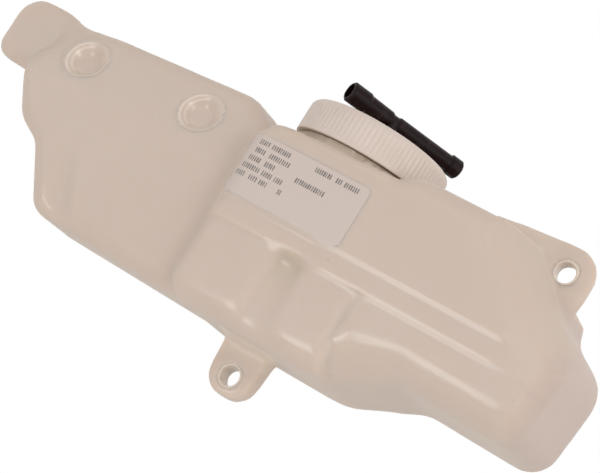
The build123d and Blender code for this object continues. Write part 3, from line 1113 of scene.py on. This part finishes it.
@dataclass
class LabelSheet:
    """The film on the front panel, laid onto the moulding."""

    left: float = LABEL_LEFT
    low: float = LABEL_LOW
    width: float = 65.5 * MM
    height: float = LABEL_HEIGHT
    corner: float = 2.5 * MM
    thick: float = 0.06 * MM
    before: float = -60.0 * MM
    columns: int = 132
    rows: int = 62

    def build(self, shell: Object, material: Material) -> Object:
        """Lays a sheet on the shell from the front and gives it a thickness.

        A point is a share across and a share up. Its height is the share of the label's height, and
        its place across is the share of the width, which falls by a circle near each end.

        Args:
            shell: the moulding that carries the film.
            material: the film's finish.

        Returns:
            The film.
        """
        across = np.linspace(-1.0, 1.0, self.columns)[None, :]
        up = (np.sin(np.linspace(-0.5, 0.5, self.rows) * math.pi) * 0.5 * self.height)[:, None]
        past = np.clip(np.abs(up) - (0.5 * self.height - self.corner), 0.0, self.corner)
        half = 0.5 * self.width - self.corner + np.sqrt(self.corner**2 - past**2)
        x = self.left + 0.5 * self.width + across * half
        z = np.broadcast_to(self.low + 0.5 * self.height + up, x.shape)
        points = np.stack([x, np.full(x.shape, self.before), z], -1)
        sheet = Meshes.build("sheet", points, Meshes.grid(self.rows, self.columns, False))
        lay = sheet.modifiers.new("lay", "SHRINKWRAP")
        lay.target = shell
        lay.wrap_method = "PROJECT"
        lay.use_project_y = True
        lay.offset = self.thick
        body = sheet.modifiers.new("body", "SOLIDIFY")
        body.thickness = 2.0 * self.thick
        body.offset = -1.0
        piece = Meshes.add("label_sheet", Meshes.finished(sheet))
        Meshes.fit(piece, Body.TANK, Slot.LABEL, material)
        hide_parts("label")
        return piece


@dataclass
class RibbedCap:
    """The screw cap, with soft upright ribs round its skirt."""

    radius: float = 36.5 * MM
    skirt: float = 32.6 * MM
    low: float = 113.1 * MM
    top: float = 130.0 * MM
    plate: float = 2.6 * MM
    edge: float = 4.0 * MM
    break_edge: float = 0.5 * MM
    guard: float = 1.8
    inset: float = 1.0 * MM
    lip: float = 1.6 * MM
    boss: float = 8.5 * MM
    boss_high: float = 2.0 * MM
    stem_hole: float = 4.06 * MM
    ribs: int = 90
    rib_depth: float = 0.30 * MM
    rib_start: float = 1.2 * MM
    rib_fade: float = 0.8 * MM
    rib_end: float = 0.3 * MM
    steps_a_rib: int = 10
    wall_steps: int = 10
    edge_steps: int = 9
    corner_steps: int = 5

    def build(self, material: Material) -> Object:
        """Turns the profile about the cap's axis and sinks a valley between ribs.

        The radius at an angle is the profile's, less the rib depth times the square of half of one
        plus the cosine of the angle times the number of ribs, and the valleys fade out at the lip
        and on the top edge.

        Args:
            material: the cap's finish.

        Returns:
            The cap.
        """
        profile, ribbed = self._profile()
        columns = self.ribs * self.steps_a_rib
        angle = np.linspace(0.0, 2.0 * math.pi, columns, endpoint=False)
        valley = (0.5 + 0.5 * np.cos(self.ribs * angle)) ** 2
        radius = profile[:, :1] - self.rib_depth * ribbed[:, None] * valley
        height = np.broadcast_to(profile[:, 1:], radius.shape)
        points = np.stack([radius * np.cos(angle), radius * np.sin(angle), height], -1)
        piece = Meshes.build("ribbed_cap", points, Meshes.turned(len(profile), columns))
        Meshes.fit(piece, Body.CAP, Slot.CAP, material)
        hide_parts("filler_cap")
        return piece

    def _profile(self) -> tuple[Array, Array]:
        """The closed profile as radius and height, and how strong the ribs are at each point."""
        under, crest = self.top - self.plate, self.top + self.boss_high
        low, high = self.low + self.lip, self.top - self.edge
        heights = np.linspace(low, high, self.wall_steps + 1)[:-1]
        wall = np.stack([np.full(self.wall_steps, self.radius), heights], -1)
        turn = np.linspace(0.0, 0.5 * math.pi, self.edge_steps)
        centre = np.array([self.radius - self.edge, high])
        shoulder = centre + self.edge * np.stack([np.cos(turn), np.sin(turn)], -1)
        foot = [
            self._corner(self.skirt, self.low, 1, 1)[::-1],
            self._corner(self.radius, self.low, -1, 1),
        ]
        crown = [
            self._corner(self.boss, self.top, 1, 1),
            self._corner(self.boss, crest, -1, -1)[::-1],
            self._corner(self.stem_hole, crest, 1, -1),
            self._corner(self.stem_hole, under, 1, 1)[::-1],
            self._corner(self.skirt, under, -1, -1),
        ]
        inset = centre + (-self.inset, self.edge)
        points = np.vstack([*foot, wall, shoulder, inset, *crown])
        strength = smooth_step(low, low + self.rib_start, points[:, 1])
        strength *= smooth_step(self.top - self.rib_end, high + self.rib_fade, points[:, 1])
        return points, strength * (points[:, 0] > self.radius - self.edge)

    def _corner(self, radius: float, height: float, out: int, up: int) -> Array:
        """Rounds a corner of the profile off with a quarter circle.

        Args:
            radius: the corner's radius from the cap's axis.
            height: the corner's height.
            out: 1 where its flat leads outwards, -1 where it leads inwards.
            up: 1 where its wall leads up, -1 where it leads down.

        Returns:
            Points from the flat to the wall, with one more beyond each end of the curve.
        """
        turn = np.linspace(0.0, 0.5 * math.pi, self.corner_steps)
        flat = self.break_edge * np.concatenate([[self.guard], 1.0 - np.sin(turn), [0.0]])
        wall = self.break_edge * np.concatenate([[0.0], 1.0 - np.cos(turn), [self.guard]])
        return np.stack([radius + out * flat, height + up * wall], -1)


@dataclass
class Fittings:
    """The finishes of the solids other than the housing."""

    cap: CapPlastic = CapPlastic()
    seal: SealRubber = SealRubber()
    label: LabelFilm = LabelFilm()
    tee: BlackPlastic = BlackPlastic()

    def build(self) -> dict[str, Material]:
        """Dresses the cap, seal, label and tee, and returns the finish of each."""
        made = {
            "filler_cap": self.cap.make(),
            "cap_seal": self.seal.make(),
            "label": self.label.make(),
            "vent_tee": self.tee.make(),
        }
        for node, material in made.items():
            Meshes.dress(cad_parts[node], material)
        return made


@dataclass(frozen=True)
class Lamp:
    """A flat soft lamp, in metres and watts."""

    name: str
    place: Triple
    target: Triple
    width: float
    height: float
    power: float

    def build(self) -> None:
        """Hangs the lamp at its place, turned to its target and hidden from the camera."""
        data = bpy.data.lights.new(self.name, "AREA")
        data.shape = "RECTANGLE"
        data.size = self.width
        data.size_y = self.height
        data.energy = self.power
        lamp = Meshes.add(self.name, data)
        lamp.location = self.place
        lamp.rotation_mode = "QUATERNION"
        way = Vector(self.target) - Vector(self.place)
        lamp.rotation_quaternion = way.to_track_quat("-Z", "Y")
        lamp.visible_camera = False


@dataclass
class Studio:
    """Camera, lamps, floor and sky: two small lamps draw the edges, and a broad one fills."""

    turn: float = math.radians(25.6)
    lift: float = math.radians(-7.2)
    roll: float = math.radians(32.0)
    focal_px: float = 1900.0
    frame_px: float = 600.0
    sensor: float = 36.0
    eye: Triple = (366.0 * MM, -784.0 * MM, -38.0 * MM)
    lamps: tuple[Lamp, ...] = (
        Lamp("low_box", (-0.214, -0.72, -0.262), (0.075, -0.038, 0.041), 0.24, 0.30, 0.98),
        Lamp("side_box", (0.680, -0.620, 0.330), (-0.100, -0.020, 0.090), 0.16, 0.30, 0.95),
        Lamp("right_fill", (0.950, -0.400, 0.250), (0.050, 0.000, 0.070), 0.80, 0.80, 2.00),
    )
    floor_z: float = -0.55
    floor_half: float = 6.0
    floor_steps: int = 25
    floor_grey: Colour = (0.92, 0.92, 0.92)
    floor_white: float = 0.8
    sky: float = 0.735

    def build(self) -> None:
        """Sets up the whole studio."""
        self._camera()
        for lamp in self.lamps:
            lamp.build()
        self._floor()
        self._sky()
        bpy.context.scene.view_settings.view_transform = "Standard"

    def _camera(self) -> None:
        """Points the camera along the photograph's line of sight, rolled as the picture is."""
        right = Vector((math.cos(self.turn), math.sin(self.turn), 0.0))
        level = Vector((math.sin(self.turn), -math.cos(self.turn), 0.0))
        back = level * math.cos(self.lift) + Vector((0.0, 0.0, math.sin(self.lift)))
        up = back.cross(right)
        across = right * math.cos(self.roll) + up * math.sin(self.roll)
        upward = up * math.cos(self.roll) - right * math.sin(self.roll)
        data = bpy.data.cameras.new("camera")
        data.sensor_width = self.sensor
        data.lens = self.focal_px / self.frame_px * self.sensor
        camera = Meshes.add("camera", data)
        turned = Matrix((across, upward, back)).transposed().to_4x4()
        camera.matrix_world = Matrix.Translation(self.eye) @ turned
        bpy.context.scene.camera = camera

    def _floor(self) -> None:
        """A pale level floor that keeps the shadow, and white to the camera."""
        side = np.linspace(-self.floor_half, self.floor_half, self.floor_steps)
        x, y = np.meshgrid(side, side)
        points = np.stack([x, y, np.full_like(x, self.floor_z)], -1)
        floor = Meshes.build("floor", points, Meshes.grid(*x.shape, False))
        s = Shader.material("floor_white")
        matt = s.node("ShaderNodeBsdfDiffuse", {"Color": (*self.floor_grey, 1.0)})
        glow = s.node("ShaderNodeEmission", {"Color": WHITE, "Strength": 1.0})
        seen = s.ray("Is Camera Ray") * self.floor_white
        both = s.node("ShaderNodeMixShader", {0: seen, 1: matt, 2: glow})
        s.node("ShaderNodeOutputMaterial", {"Surface": both})
        Meshes.dress(floor, s.owner)

    def _sky(self) -> None:
        """Even soft light, seen as white by the camera, in shiny things and through clear ones."""
        world = bpy.data.worlds.new("sky")
        bpy.context.scene.world = world
        s = Shader(world)
        seen = s.ray("Is Camera Ray").math("MAXIMUM", s.ray("Is Transmission Ray"))
        seen = seen.math("MAXIMUM", s.ray("Is Glossy Ray"))
        strength = self.sky + seen * (1.0 - self.sky)
        back = s.node("ShaderNodeBackground", {"Color": WHITE, "Strength": strength})
        s.node("ShaderNodeOutputWorld", {"Surface": back})


def main() -> None:
    """Builds the pieces in order and reports each."""
    logging.basicConfig(level=logging.INFO, format="%(message)s")
    Studio().build()
    shell = TankShell().build()
    pieces = [shell]
    thin = MilkyPlastic(name="milky_thin", scatter=0.0).make()
    # a lighter copy of the tank's finish: painted light on the holes' walls
    painted_lit_finish = MilkyPlastic("milky_painted_lit", PAINTED_LIT_WALL, PAINTED_LIT_WALL, scatter=0.0).make()
    for number, (x, z) in enumerate(TankShell.dimples, 1):
        pieces.append(DimpleLining(f"dimple_{number}", x * MM, z * MM).build(thin))
    sleeves = (("lower_lug_sleeve", 5.5 * MM), ("upper_lug_sleeve", 4.0 * MM))
    for (name, half), (x, z) in zip(sleeves, TankShell.holes):
        pieces.append(HoleSleeve(name, x, z, half).build(painted_lit_finish))
    finishes = Fittings().build()
    pieces.append(RibbedCap().build(finishes["filler_cap"]))
    pieces.append(LabelSheet().build(shell, finishes["label"]))
    neck = ScrewThread("neck_thread", Body.TANK, Slot.TANK, 30.0 * MM, 31.5 * MM, 114.6 * MM, 1.9)
    skirt = ScrewThread("cap_thread", Body.CAP, Slot.CAP, 32.6 * MM, 31.1 * MM, 116.6 * MM, 1.4)
    pieces += [neck.build(thin), skirt.build(finishes["filler_cap"])]
    for piece in pieces:
        log.info("%s: %d faces", piece.name, len(piece.data.polygons))


if __name__ == "__main__":
    main()
